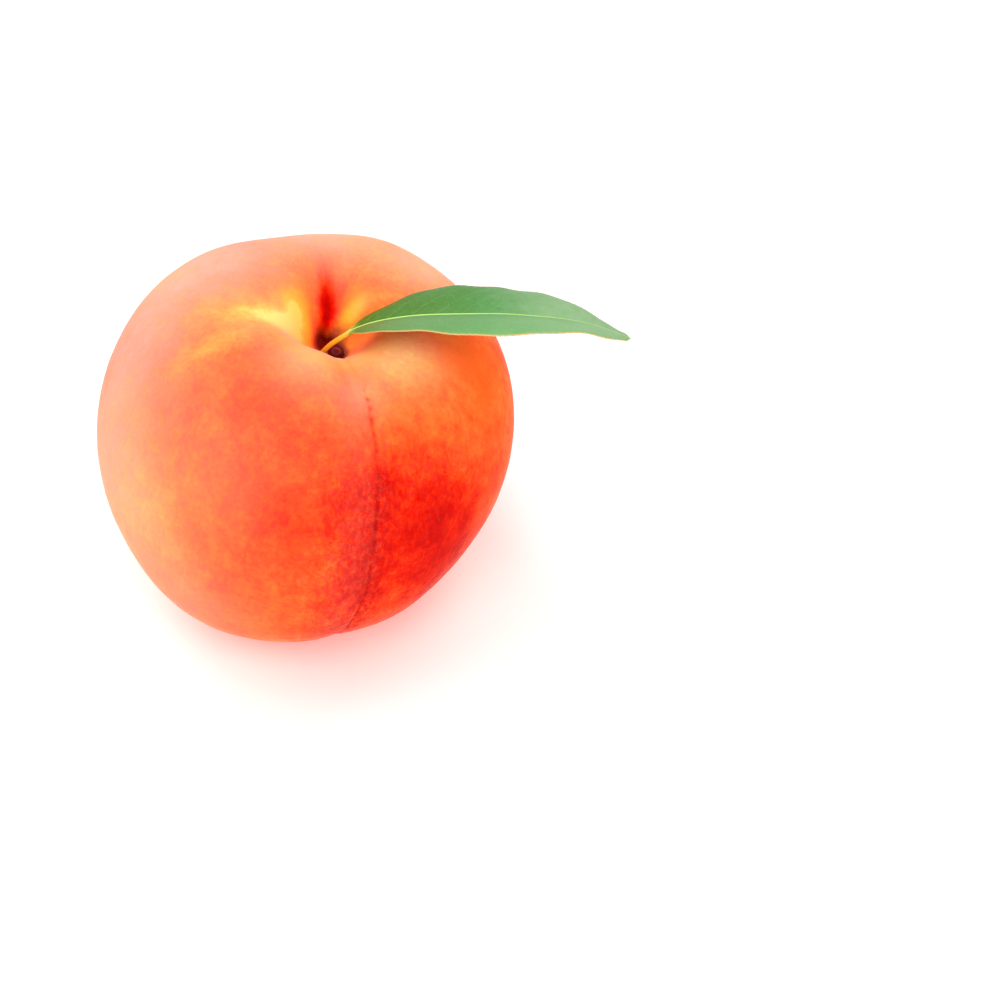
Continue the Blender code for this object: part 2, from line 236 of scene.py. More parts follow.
class Nodes:
    """Short words for building a material's node tree."""

    def __init__(self, name):
        self.mat = bpy.data.materials.new(name)
        self.mat.use_nodes = True
        self.tree = self.mat.node_tree
        self.shader = self.tree.nodes["Principled BSDF"]

    def new(self, kind, **props):
        n = self.tree.nodes.new(kind)
        for k, v in props.items():
            setattr(n, k, v)
        return n

    def link(self, a, b):
        self.tree.links.new(a, b)

    def feed(self, socket, value):
        if hasattr(value, "is_output"):
            self.link(value, socket)
        else:
            socket.default_value = value

    def att(self, name, out="Fac"):
        return self.new("ShaderNodeAttribute", attribute_name=name).outputs[out]

    def math(self, op, a, b=0.0, c=0.0, clamp=False):
        n = self.new("ShaderNodeMath", operation=op, use_clamp=clamp)
        self.feed(n.inputs[0], a)
        self.feed(n.inputs[1], b)
        self.feed(n.inputs[2], c)
        return n.outputs[0]

    def add(self, *vals):
        out = vals[0]
        for v in vals[1:]:
            out = self.math("ADD", out, v)
        return out

    def mul(self, a, b):
        return self.math("MULTIPLY", a, b)

    def remap(self, v, lo, hi, to_lo=0.0, to_hi=1.0, smooth=True):
        n = self.new("ShaderNodeMapRange", interpolation_type="SMOOTHSTEP" if smooth else "LINEAR")
        self.feed(n.inputs["Value"], v)
        n.inputs["From Min"].default_value = lo
        n.inputs["From Max"].default_value = hi
        n.inputs["To Min"].default_value = to_lo
        n.inputs["To Max"].default_value = to_hi
        return n.outputs["Result"]

    def noise(self, vector, scale, detail=3.0, rough=0.5, distort=0.0):
        """Noise centred on zero, about -1 to 1."""
        n = self.new("ShaderNodeTexNoise")
        self.feed(n.inputs["Vector"], vector)
        n.inputs["Scale"].default_value = scale
        n.inputs["Detail"].default_value = detail
        n.inputs["Roughness"].default_value = rough
        n.inputs["Distortion"].default_value = distort
        return self.math("MULTIPLY_ADD", n.outputs["Fac"], 2.0, -1.0)

    def voronoi(self, vector, scale, feature="F1", out="Distance", randomness=1.0):
        n = self.new("ShaderNodeTexVoronoi", feature=feature)
        self.feed(n.inputs["Vector"], vector)
        n.inputs["Scale"].default_value = scale
        n.inputs["Randomness"].default_value = randomness
        return n.outputs[out]

    def colours(self, fac, stops):
        n = self.new("ShaderNodeValToRGB")
        self.feed(n.inputs["Fac"], fac)
        el = n.color_ramp.elements
        while len(el) > 1:
            el.remove(el[-1])
        el[0].position, el[0].color = stops[0]
        for pos, col in stops[1:]:
            el.new(pos).color = col
        return n.outputs["Color"]

    def mix(self, fac, a, b, blend="MIX"):
        n = self.new("ShaderNodeMix", data_type="RGBA", blend_type=blend)
        self.feed(n.inputs[0], fac)
        self.feed(n.inputs[6], a)
        self.feed(n.inputs[7], b)
        return n.outputs[2]

    def bump(self, height, distance, strength=1.0, normal=None):
        n = self.new("ShaderNodeBump")
        n.inputs["Strength"].default_value = strength
        n.inputs["Distance"].default_value = distance
        self.link(height, n.inputs["Height"])
        if normal is not None:
            self.link(normal, n.inputs["Normal"])
        return n.outputs["Normal"]

    def coords(self, out="Object"):
        return self.new("ShaderNodeTexCoord").outputs[out]


# ------------------------------------------------------------------- fruit
def fine_directions(steps):
    """A cube's surface as a grid of directions, crowded in the stem cavity and
    along the suture, with its quads."""
    line = np.linspace(-1, 1, steps + 1)
    index, points, quads = {}, [], []

    def vertex(p):
        key = tuple(int(round(c * steps)) for c in p)
        if key not in index:
            index[key] = len(points)
            points.append(p)
        return index[key]

    for axis in range(3):
        for sign in (-1.0, 1.0):
            ids = np.empty((steps + 1, steps + 1), dtype=int)
            for i, a in enumerate(line):
                for j, b in enumerate(line):
                    p = [0.0, 0.0, 0.0]
                    p[axis], p[(axis + 1) % 3], p[(axis + 2) % 3] = sign, a, b
                    ids[i, j] = vertex(p)
            for i in range(steps):
                for j in range(steps):
                    q = (ids[i, j], ids[i + 1, j], ids[i + 1, j + 1], ids[i, j + 1])
                    quads.append(tuple(int(k) for k in (q if sign > 0 else q[::-1])))
    d = np.tan(np.array(points) * (pi / 4))
    d /= np.linalg.norm(d, axis=1)[:, None]
    theta, phi, _ = spherical(d)
    theta = theta - POLE_CROWDING * np.sin(theta) * (1 + np.cos(theta)) / 2
    x = (phi - SUTURE_AZIMUTH + pi) % (2 * pi) - pi
    x = x - SEAM_CROWDING * np.sin(x) * np.exp(-(x / 0.42) ** 2)
    phi = SUTURE_AZIMUTH + x
    return np.stack([np.sin(theta) * np.cos(phi), np.sin(theta) * np.sin(phi), np.cos(theta)], axis=1), quads


# red blush (+) and yellow ground (-): azimuth, angle from the stem, reach, amount
BLUSH_EVEN = 0.50
BLUSH = (
    (-150, 95, 28, -0.25),     # yellow left cheek
    (-125, 40, 18, 0.10),      # warmer above it
    (-110, 20, 10, -0.25),     # golden front rim of the cavity
    (-95, 65, 28, 0.15),       # front, left of the suture
    (-50, 75, 22, 0.30),       # deep red right of the suture
    (-40, 105, 20, 0.25),      # and down under it, deeper red partly as painted shade of the underside
    (-30, 25, 10, -0.40),      # golden patch right of the cavity, partly painted light where the leaf's shadow falls
    (170, 15, 6, -0.40),       # yellow at the head of the left valley, partly a painted highlight
    (90, 45, 18, -0.30),       # paler crown behind the cavity
    (150, 55, 15, -0.25),      # and to its left
    (45, 45, 15, -0.30),       # and to its right
    (95, 5, 5, 0.35),          # red floor of the cavity
    (40, 95, 30, 0.20),        # back, warm
    (110, 85, 25, -0.10),      # back, paler
    (180, 140, 25, -0.10),     # underneath, paler
)
# pale felt of the fuzz, and painted sheen where the rims and crown catch the light
FELT_AND_SHEEN_EVEN = 0.02
FELT_AND_SHEEN = (
    (-160, 92, 28, 0.50),      # left flank
    (175, 60, 25, 0.50),       # left shoulder
    (140, 45, 20, 0.60),       # crown, left
    (95, 45, 16, 0.60),        # crown, middle
    (50, 45, 16, 0.60),        # crown, right
    (-125, 115, 22, 0.30),     # lower left
    (-120, 60, 25, 0.10),      # front left
    (-110, 22, 12, 0.25),      # front rim of the cavity, painted sheen on its crest
    (-72, 30, 8, 0.25),        # head of the suture
    (-25, 25, 12, 0.35),       # right rim of the cavity, painted light where the leaf's shadow falls
    (95, 85, 35, 0.15),        # back
)


def patches(d, even, rows):
    out = np.full(len(d), even)
    for azimuth, polar, reach, amount in rows:
        out += amount * bump(away(d, radians(azimuth), radians(polar)), radians(reach))
    return out


def build_skin():
    d, quads = fine_directions(SKIN_STEPS)
    theta, phi, st = spherical(d)
    base = place(d * fruit_radius(d)[:, None])
    mm = base * 1000
    # the firm flesh is never quite even
    uneven = 0.00009 * noise(mm, 9.0, 3, 2) + 0.00003 * noise(mm, 2.6, 7, 2)
    # narrow fold at the bottom of the suture, wandering a little and pitted
    # where it leaves the cavity
    s, front = seam(d, SUTURE_AZIMUTH)
    s = s - suture_sway(theta)
    fade = 1 - ramp(theta, radians(125), radians(172))
    even_out = 0.00012 * front * bump(s, 0.0012) * ramp(theta, radians(24), radians(44)) * fade
    s = s + 0.00020 * np.sin(theta * 11.0) + 0.00006 * np.sin(theta * 37.0 + 1.0)
    fade = 1 - ramp(theta, radians(120), radians(165))
    pits = sum(depth * bump(theta - radians(at), radians(reach)) for at, reach, depth in (
        (28.6, 1.3, 0.25), (32.5, 0.7, 1.0), (35.6, 0.9, 0.75), (39.0, 1.4, 0.85), (42.6, 1.6, 0.45), (46.5, 1.8, 0.35),
        (51.8, 0.8, 0.7), (54.2, 1.0, 0.7), (62.0, 1.6, 0.5), (69.0, 1.8, 0.5)))
    fold = front * bump(s, 0.00034 + 0.00014 * pits) * ramp(theta, radians(18), radians(30)) * fade
    r = fruit_radius(d) + uneven + even_out - fold * (0.00011 + 0.00030 * pits)
    p = place(d * r[:, None])
    p[:, 2] = np.maximum(p[:, 2], 0.0)
    skin = mesh_object("peach_skin", p, quads)

    blush = patches(d, BLUSH_EVEN, BLUSH)
    felt_and_sheen = patches(d, FELT_AND_SHEEN_EVEN, FELT_AND_SHEEN)
    blush += 0.05 * noise(mm, 13.0, 21, 2)
    # red over and beside the suture, stronger lower down
    blush += 0.20 * front * bump(s + 0.0010, 0.0050) * ramp(theta, radians(36), radians(62)) * fade
    # wedge of the far crease is red, the bulges beside it yellow
    sc, fc = seam(d, radians(92))
    blush += 0.38 * fc * bump(sc, 0.0009 + 0.0044 * theta) * bump(theta - radians(14.5), radians(5.6))
    blush += 0.17 * fc * bump(sc, 0.0050) * bump(theta - radians(25), radians(11))
    yellow = np.zeros(len(d))
    for azimuth, polar, across, along, amount in ((146, 14.5, 0.0020, 3.8, 0.50), (54, 14.5, 0.0019, 4.0, 0.27)):
        sb, fb = seam(d, radians(azimuth))
        yellow += amount * fb * bump(sb, across) * bump(theta - radians(polar), radians(along))
    sv, fv = seam(d, VALLEY_AZIMUTH)
    yellow += 0.26 * fv * bump(sv + 0.0009, 0.0019) * bump(theta - radians(20), radians(9))
    yellow += 0.26 * fv * bump(sv - 0.0014, 0.0046) * bump(theta - radians(27), radians(16))
    sv, fv = seam(d, radians(-157))
    yellow += 0.20 * fv * bump(sv, 0.0026) * bump(theta - radians(37), radians(14))
    blush -= yellow
    # the fold's own red line, broken, and red dots in its pits
    broken = 0.55 + 0.45 * noise(np.column_stack([theta * 38, theta * 0, theta * 0]), 1.4, 31, 2)
    line = broken * bump(s, 0.00030) * (0.35 * ramp(theta, radians(38), radians(46)) + 0.65 * ramp(theta, radians(46), radians(58)))
    line = line + bump(s, 0.00048) * pits * (0.85 - 0.35 * ramp(theta, radians(42), radians(50)))
    line = front * line * fade
    # dusty band along the near side of the suture
    haze = front * bump(s + 0.0034, 0.0036) * ramp(theta, radians(24), radians(34)) * fade
    felt_and_sheen = np.clip(felt_and_sheen, 0, None) * (1 - np.clip(yellow * 2.5, 0, 0.9)) * (1 - ramp(blush, 0.56, 0.76)) + 0.03 * haze
    # painted highlight at the head of the left valley
    felt_and_sheen += 0.17 * bump(away(d, radians(-166), radians(22)), radians(9))
    # painted sheen along the crest of the bowl's front rim, paler and less red
    crest_sheen = bump(theta - radians(13.5), radians(4.5)) * ramp(np.cos(phi - radians(-112)), 0.0, 0.6)
    felt_and_sheen += 0.32 * crest_sheen
    blush -= 0.14 * crest_sheen
    # painted highlight on the right bulge of the cavity
    felt_and_sheen += 0.10 * bump(away(d, radians(50), radians(16.5)), radians(3.2))
    felt_and_sheen = felt_and_sheen * (1 - 0.75 * np.clip(line * 1.3, 0, 1))

    attribute(skin, "bowl", (1 - ramp(theta, radians(16), radians(26))) * (1 - ramp(blush, 0.30, 0.60)) * (1 - bump(away(d, radians(169), radians(18)), radians(8))) * (1 - bump(away(d, radians(-15), radians(16)), radians(8))))
    # painted warm bounce light along the right rim, under the leaf
    painted_bounce = bump(away(d, radians(-7), radians(38)), radians(6)) + bump(away(d, radians(0), radians(46)), radians(8)) + 0.6 * bump(away(d, radians(-14), radians(52)), radians(8))
    attribute(skin, "painted_bounce", np.clip(painted_bounce, 0, 1))
    attribute(skin, "blush", blush)
    attribute(skin, "felt_and_sheen", felt_and_sheen)
    attribute(skin, "haze", (0.010 + 0.018 * haze) * (1 - np.clip(yellow * 3, 0, 1)) * ramp(theta, radians(12), radians(24)) * (1 - 0.6 * ramp(blush, 0.66, 0.80)) * (1 - 0.85 * np.clip(line * 1.5, 0, 1)))
    attribute(skin, "seam_line", line)
    attribute(skin, "seam_zone", front * np.clip(bump(s + 0.0028, 0.0062) + 0.25 * bump(s, 0.0020) + 0.32 * bump(s - 0.0110, 0.0080), 0, 1) * ramp(theta, radians(42), radians(60)) * fade)
    # dark red hole at the bottom of the cavity and a dark patch right of the stub: dark red colour and painted shade of
    # the deep recess
    pit_shade = 1 - ramp(away(d, radians(86), radians(4.8)), radians(3.0), radians(6.6))
    pit_shade = pit_shade + 0.8 * (1 - ramp(away(d, radians(-2), radians(6.2)), radians(3.6), radians(5.8)))
    attribute(skin, "hole_shade", np.clip(pit_shade, 0, 1))
    # brown-red floor round the stub, partly painted shade of the recess
    attribute(skin, "brown_floor_and_shade", 1 - ramp(away(d, radians(60), radians(5.5)), radians(4.6), radians(8.6)))
    end = away(d, *BLOSSOM_PLACE) * BOTTOM_DEPTH
    attribute(skin, "blossom", bump(end, 0.0010))
    # coordinates that run round the fruit and down it, for streaks
    round_ = np.stack([np.cos(phi), np.sin(phi)], axis=1) * (38 * (0.35 + 0.65 * st))[:, None]
    attribute(skin, "streak", np.column_stack([round_, theta * 38 * 0.30]))
    attribute(skin, "short_streak", np.column_stack([round_, theta * 38 * 0.55]))
    return skin


def skin_material():
    m = Nodes("peach_skin")
    obj = m.coords()
    streak = m.att("streak", "Vector")
    n_cloud = m.noise(obj, 95, 3, 0.55, 0.4)            # clouds about 1 cm across
    n_streak = m.noise(streak, 0.36, 4, 0.60, 0.3)      # streaks down from the stem
    n_patch = m.noise(obj, 330, 3, 0.6, 0.3)            # mottle, about 3 mm
    n_fine = m.noise(obj, 1100, 2, 0.6)                 # mottle, about 1 mm
    n_grain = m.noise(streak, 1.5, 3, 0.65)             # grain running down from the stem
    n_tint = m.noise(m.att("short_streak", "Vector"), 1.1, 3, 0.65, 0.2)
    n_dots = m.noise(obj, 2100, 2, 0.6)                 # dots, about 0.5 mm
    n_fuzz = m.noise(obj, 3600, 2, 0.7)                 # tips of the fuzz
    zone = m.att("seam_zone")
    blush = m.add(
        m.att("blush"),
        m.mul(n_cloud, 0.13), m.mul(n_streak, 0.07), m.mul(n_patch, 0.15),
        m.mul(n_fine, 0.10), m.mul(n_fuzz, 0.06), m.mul(n_grain, 0.05),
        m.mul(zone, m.add(m.mul(n_tint, 0.20), m.mul(n_fine, 0.12), m.mul(n_dots, 0.20), m.mul(n_fuzz, 0.22))),
        m.mul(m.mul(m.att("seam_line"), m.remap(n_fine, -1.0, 0.3, 0.3, 1.0)), 0.25),
    )
    base = m.colours(blush, (
        (0.00, (0.94, 0.64, 0.165, 1)),
        (0.15, (0.94, 0.41, 0.070, 1)),
        (0.30, (0.92, 0.265, 0.040, 1)),
        (0.45, (0.89, 0.145, 0.013, 1)),
        (0.60, (0.80, 0.060, 0.003, 1)),
        (0.75, (0.62, 0.009, 0.000, 1)),
        (0.88, (0.46, 0.001, 0.000, 1)),
        (1.00, (0.33, 0.001, 0.001, 1)),
    ))
    # the bowl's walls are a deeper yellow
    base = m.mix(m.mul(m.att("bowl"), 0.62), base, (0.93, 0.36, 0.0, 1))
    # painted warm bounce light, clear orange towards the right rim
    base = m.mix(m.mul(m.att("painted_bounce"), 0.62), base, (0.99, 0.130, 0.0, 1))
    # dark specks and lilac felt beside the suture
    specks = m.remap(m.add(m.mul(n_fine, 0.45), m.mul(n_tint, 0.7), m.mul(n_dots, 0.8), m.mul(n_fuzz, 0.5)), -0.20, 0.75)
    base = m.mix(m.mul(m.mul(specks, zone), 0.85), base, (0.40, 0.006, 0.006, 1))
    lilac = m.mul(zone, m.remap(m.add(m.mul(n_tint, -0.8), m.mul(n_fuzz, 0.6), m.mul(n_fine, 0.3)), -0.20, 0.8, 0.0, 0.34))
    base = m.mix(lilac, base, (0.72, 0.15, 0.07, 1))
    # brown-red floor of the cavity, partly painted shade darkening into the recess
    base = m.mix(m.mul(m.att("brown_floor_and_shade"), m.remap(n_fine, -1.0, 1.0, 0.60, 0.90)), base, (0.22, 0.050, 0.004, 1))
    # dark red hole at the bottom of the cavity, partly painted shade of the deep recess
    hole_shade = m.math("MULTIPLY", m.att("hole_shade"), m.remap(n_fine, -1.0, 1.0, 0.85, 1.1), clamp=True)
    base = m.mix(hole_shade, base, (0.10, 0.0005, 0.0, 1))
    base = m.mix(m.mul(m.att("blossom"), 0.8), base, srgb(96, 50, 24))
    # pale felt of the fuzz, thicker in places, with painted sheen on the lit rims
    felt_and_sheen = m.mul(m.att("felt_and_sheen"), m.remap(m.add(n_patch, m.mul(n_fuzz, 0.8)), -1.1, 1.1, 0.4, 1.6, smooth=False))
    felt_and_sheen = m.add(felt_and_sheen, m.mul(m.remap(m.add(m.mul(n_patch, -1.0), m.mul(n_fine, 0.8), m.mul(n_dots, 0.7), m.mul(n_fuzz, 0.6)), -0.29, 0.86, 0.0, 4.0, smooth=False), m.att("haze")))
    base = m.mix(felt_and_sheen, base, (0.90, 0.40, 0.33, 1))
    m.link(base, m.shader.inputs["Base Color"])
    m.link(m.remap(n_fine, -1, 1, 0.60, 0.74), m.shader.inputs["Roughness"])
    m.shader.inputs["Specular IOR Level"].default_value = 0.02
    m.shader.inputs["Sheen Weight"].default_value = 0.32
    m.shader.inputs["Sheen Roughness"].default_value = 0.16
    m.shader.inputs["Sheen Tint"].default_value = (1.0, 0.82, 0.70, 1)
    m.shader.inputs["Subsurface Weight"].default_value = 0.06
    m.shader.inputs["Subsurface Radius"].default_value = (1.0, 0.3, 0.1)
    m.shader.inputs["Subsurface Scale"].default_value = 0.0015
    coarse = m.bump(n_fine, 0.00006, 0.5)
    m.link(m.bump(n_fuzz, 0.00007, 0.55, coarse), m.shader.inputs["Normal"])
    return m.mat


skin = build_skin()
skin.data.materials.append(skin_material())
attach(skin, "root")
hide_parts("peach_fruit")


# -------------------------------------------------------------- stalk stub
def floor_height(x, y):
    z = np.full_like(x, 0.023)
    for _ in range(60):
        p = np.stack([x, y, z], axis=1)
        d = p / np.linalg.norm(p, axis=1)[:, None]
        r = fruit_radius(d)
        z = 0.5 * z + 0.5 * np.sqrt(np.clip(r * r - x * x - y * y, 1e-6, None))
    return z


def build_stub():
    """Dry end of the fruit's stalk: a corky post, its rim split and curled,
    its middle sunken and ringed."""
    sides, rings = 96, 40
    angle = 2 * pi * np.arange(sides) / sides
    profile = (   # along the profile: share of the radius, height
        (0.00, 1.16, 0.0), (0.12, 1.03, 0.00010), (0.25, 0.98, 0.00024), (0.40, 1.00, 0.00040),
        (0.50, 0.96, 0.00048), (0.58, 0.86, STUB_HEIGHT), (0.68, 0.70, STUB_HEIGHT - 0.00006),
        (0.78, 0.55, STUB_HEIGHT - 0.00024), (0.90, 0.28, STUB_HEIGHT - 0.00024), (1.00, 0.03, STUB_HEIGHT - 0.00014),
    )
    knots = np.array(profile)
    wobble = 1 + 0.05 * np.sin(3 * angle + 0.6) + 0.03 * np.sin(5 * angle + 2.0)
    x0 = STUB_PLACE[0] + STUB_RADIUS * 1.16 * wobble * np.cos(angle)
    y0 = STUB_PLACE[1] + STUB_RADIUS * 1.16 * wobble * np.sin(angle)
    foot = floor_height(x0, y0) + 1.8 * GAP
    top = float(foot.max())
    verts, faces, shade = [], [], []
    for k in range(rings):
        u = k / (rings - 1)
        share = np.interp(u, knots[:, 0], knots[:, 1])
        rise = np.interp(u, knots[:, 0], knots[:, 2])
        ridge = 0.018 * np.sin(17 * angle) + 0.012 * np.sin(29 * angle + 1.3) if 0.05 < u < 0.62 else 0.0
        split = -0.00010 * np.clip(np.sin(7 * angle + 0.4), 0, 1) ** 3 * bump(u - 0.55, 0.09)
        ring_marks = 0.00003 * np.sin(u * 70) * ramp(np.array(u), 0.6, 0.7)
        x = STUB_PLACE[0] + STUB_RADIUS * (share + ridge) * wobble * np.cos(angle)
        y = STUB_PLACE[1] + STUB_RADIUS * (share + ridge) * wobble * np.sin(angle)
        blend = ramp(np.array(u), 0.0, 0.2)
        z = foot * (1 - blend) + top * blend + rise + split + ring_marks
        verts.append(place(np.stack([x, y, z], axis=1)))
        shade.append(np.full(sides, u))
    verts = np.concatenate(verts)
    for k in range(rings - 1):
        for i in range(sides):
            j = (i + 1) % sides
            faces.append((k * sides + i, k * sides + j, (k + 1) * sides + j, (k + 1) * sides + i))
    faces.append(tuple(range(sides - 1, -1, -1)))
    faces.append(tuple((rings - 1) * sides + i for i in range(sides)))
    obj = mesh_object("stub_wood", verts, faces)
    attribute(obj, "up_profile", np.concatenate(shade))
    return obj


def stub_material():
    m = Nodes("stub_wood")
    obj = m.coords()
    grain = m.noise(obj, 2600, 4, 0.65)
    rings = m.math("SINE", m.mul(m.att("up_profile"), 95.0))
    # pale ring on the inner lip of the stub: painted highlight
    rim = m.mul(m.remap(m.att("up_profile"), 0.66, 0.76), m.remap(m.att("up_profile"), 0.80, 0.90, 1.0, 0.0))
    rim = m.mul(rim, m.remap(m.noise(obj, 1300, 2), -0.5, 0.3, 0.35, 1.0))
    tone = m.add(0.14, m.mul(rim, 0.46), m.remap(m.att("up_profile"), 0.84, 1.0, 0.0, 0.20),
                 m.mul(grain, 0.20), m.mul(rings, 0.05))
    m.link(m.colours(tone, (
        (0.0, srgb(60, 6, 6)), (0.35, srgb(104, 14, 10)), (0.6, srgb(146, 44, 44)), (1.0, srgb(190, 100, 96)),
    )), m.shader.inputs["Base Color"])
    m.shader.inputs["Roughness"].default_value = 0.85
    m.shader.inputs["Specular IOR Level"].default_value = 0.2
    m.link(m.bump(grain, 0.00012, 0.8), m.shader.inputs["Normal"])
    return m.mat


stub = build_stub()
stub.data.materials.append(stub_material())
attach(stub, "root")
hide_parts("stem_stub")


# --------------------------------------------------------------------- leaf
def through(points, share):
    p = np.array(points)
    p = np.vstack([2 * p[0] - p[1], p, 2 * p[-1] - p[-2]])
    dense = []
    for i in range(1, len(p) - 2):
        for t in np.linspace(0, 1, 40, endpoint=False):
            dense.append(0.5 * ((2 * p[i]) + (-p[i - 1] + p[i + 1]) * t
                                + (2 * p[i - 1] - 5 * p[i] + 4 * p[i + 1] - p[i + 2]) * t ** 2
                                + (-p[i - 1] + 3 * p[i] - 3 * p[i + 1] + p[i + 2]) * t ** 3))
    dense.append(p[-2])
    dense = np.array(dense)
    run = np.concatenate([[0], np.cumsum(np.linalg.norm(np.diff(dense, axis=0), axis=1))])
    at = np.asarray(share) * run[-1]
    return np.stack([np.interp(at, run, dense[:, k]) for k in range(3)], axis=1)


def smooth_rows(a, passes):
    for _ in range(passes):
        a[1:-1] = (a[:-2] + 2 * a[1:-1] + a[2:]) / 4
    return a


def half_width(t):
    return BLADE_HALF_WIDTH * np.sin(pi * np.clip(t, 0, 1) ** 0.85) ** 0.75


def far_share(t):
    """The far half is a little narrower than the near one at both ends."""
    return 1 - 0.10 * (1 - ramp(t, 0.08, 0.25)) - 0.28 * ramp(t, 0.70, 0.97)


def near_slope(t):
    return NEAR_FOOT_SLOPE + (NEAR_HALF_SLOPE - NEAR_FOOT_SLOPE) * ramp(t, 0.0, 0.45)


VEIN_SPACING = 0.0046


def vein_phase(t, a):
    """Whole numbers fall on the side veins, which leave the midrib at a wide
    angle and bend towards the tip.  a is the distance from the midrib."""
    run = t * 0.0525
    lean = 0.75 * a + 26.0 * a ** 2
    return (run - lean) / VEIN_SPACING


def build_leaf():
    stations = 420
    shares = np.concatenate([np.linspace(0, BLADE_START, 40, endpoint=False),
                             BLADE_START + (1 - BLADE_START) * (1 - (1 - np.linspace(0, 0.9985, stations - 40)) ** 1.25)])
    length = 0.0593
    mid = smooth_rows(through(LEAF_PATH, shares), 20) + np.array(FRUIT_CENTRE)
    fwd = np.gradient(mid, axis=0)
    fwd = smooth_rows(fwd / np.linalg.norm(fwd, axis=1)[:, None], 20)
    fwd /= np.linalg.norm(fwd, axis=1)[:, None]
    side = np.array([0.0, 1.0, 0.0]) - fwd * fwd[:, 1:2]
    side /= np.linalg.norm(side, axis=1)[:, None]
    up = np.cross(fwd, side)

    half = 17                                   # points from midrib to margin
    u = np.linspace(0, 1, half) ** 1.25         # crowded near the midrib
    lanes = np.concatenate([-u[::-1], u[1:]])   # -1 near margin .. 1 far margin
    count = len(lanes)
    verts, attr_t, attr_a, attr_w, attr_side = [], [], [], [], []
    for k, share in enumerate(shares):
        t = (share - BLADE_START) / (1 - BLADE_START)
        tc = max(t, 0.0)
        spread = float(half_width(np.array(t))) if t > 0 else 0.0
        stalk = STALK_RADIUS * (1 - 0.75 * tc)
        w = max(spread, stalk)
        flat = float(ramp(np.array(w), 1.2 * STALK_RADIUS, 4 * STALK_RADIUS))
        # fine forward-pointing teeth on the margins, a little irregular
        pitch = 0.00120
        x_near = tc * length / pitch + 0.35 * sin(tc * 23.0)
        x_far = tc * length / pitch + 0.45 + 0.35 * sin(tc * 19.0 + 2.0)

        def tooth(x):
            f = x - np.floor(x)
            return (f ** 1.6) * (1 - ramp(np.array(f), 0.84, 1.0))
        fade = float(ramp(np.array(tc), 0.03, 0.12) * (1 - ramp(np.array(tc), 0.93, 0.99)))
        w_near = w + flat * fade * (0.00013 * float(tooth(x_near)) - 0.00005)
        w_far = w * (1 - flat * (1 - float(far_share(np.array(tc))))) + flat * fade * (0.00013 * float(tooth(x_far)) - 0.00005)
        edge = np.where(lanes < 0, w_near, w_far)
        # even lanes on the blade, a circle's lanes on the stalk
        across = lanes * edge * flat + (1 - flat) * np.sin(lanes * pi / 2) * w
        a = np.abs(across)
        round_h = np.sqrt(np.clip(w * w - np.minimum(a, w) ** 2, 0, None)) * (stalk / w)
        rib_w = 0.00046 * (1 - 0.66 * tc)
        rib_below = (RIB_THICKNESS * (1 - 0.66 * tc) - BLADE_THICKNESS) * bump(a, rib_w)
        rib_above = 0.00007 * (1 - 0.5 * tc) * bump(a, rib_w * 0.55) - 0.00010 * (1 - 0.5 * tc) * bump(a, rib_w * 2.2)
        thick = BLADE_THICKNESS / 2 * (0.42 + 0.58 * np.clip((1 - np.abs(lanes)) / 0.12, 0, 1) ** 0.5)
        above = (1 - flat) * round_h + flat * (thick + rib_above)
        below = (1 - flat) * round_h + flat * (thick + rib_below)
        # blade puffs up between its side veins
        phase = vein_phase(tc, a) + np.where(lanes < 0, 0.0, 0.42)
        f = phase - np.floor(phase)
        vein = np.exp(-(np.minimum(f, 1 - f) * VEIN_SPACING / 0.00055) ** 2)
        grow = flat * np.clip(a / 0.0016, 0, 1) * np.clip((1 - np.abs(lanes)) / 0.18, 0, 1)
        puff = -0.00003 * vein * grow + 0.00004 * (np.sin(pi * f) - 0.5) * grow
        near = float(near_slope(np.array(t)))
        slope = flat * np.where(across > 0, FAR_HALF_SLOPE, near)
        # each half bows a little
        bow = flat * 0.055 * (a / w) * (1 - a / w) * w * 4
        lean = flat * (FAR_HALF_SLOPE + near) / 2
        wave = flat * MARGIN_WAVE * sin(MARGIN_WAVES * 2 * pi * t) * (a / w) ** 2 * np.where(across > 0, -0.6, -0.8)
        curl = flat * 0.00010 * np.sin(t * 2 * pi * 6.3 + np.where(across > 0, 0.0, 1.7)) * (a / w) ** 3
        out = side[k][None, :] * np.cos(slope)[:, None] + up[k][None, :] * np.sin(slope)[:, None]
        nrm = up[k] * cos(lean) - side[k] * sin(lean)
        lift = bow + wave + curl + puff
        # soften the fold line itself
        lift = lift + flat * 0.00010 * bump(a, 0.0006)
        centre = mid[k][None, :] + out * across[:, None] + nrm[None, :] * lift[:, None]
        verts.append(centre + nrm[None, :] * above[:, None])
        verts.append(centre - nrm[None, :] * below[:, None])
        for s in (1.0, -1.0):
            attr_t.append(np.full(count, t))
            attr_a.append(across * 1000)
            attr_w.append(np.abs(lanes))
            attr_side.append(np.full(count, s))
    verts = np.concatenate(verts)
    n = 2 * count

    def top(k, i):
        return k * n + i

    def bottom(k, i):
        return k * n + count + i
    faces = []
    last = len(shares) - 1
    for k in range(last):
        for i in range(count - 1):
            faces.append((top(k, i), top(k + 1, i), top(k + 1, i + 1), top(k, i + 1)))
            faces.append((bottom(k, i), bottom(k, i + 1), bottom(k + 1, i + 1), bottom(k + 1, i)))
        faces.append((top(k, 0), bottom(k, 0), bottom(k + 1, 0), top(k + 1, 0)))
        e = count - 1
        faces.append((top(k, e), top(k + 1, e), bottom(k + 1, e), bottom(k, e)))
    for k, flip in ((0, False), (last, True)):
        for i in range(count - 1):
            q = (top(k, i), top(k, i + 1), bottom(k, i + 1), bottom(k, i))
            faces.append(q[::-1] if flip else q)
    obj = mesh_object("leaf_blade", verts, faces)
    attribute(obj, "along", np.concatenate(attr_t))
    attribute(obj, "across_mm", np.concatenate(attr_a))
    attribute(obj, "to_margin", np.concatenate(attr_w))
    attribute(obj, "upper", np.concatenate(attr_side))
    return obj


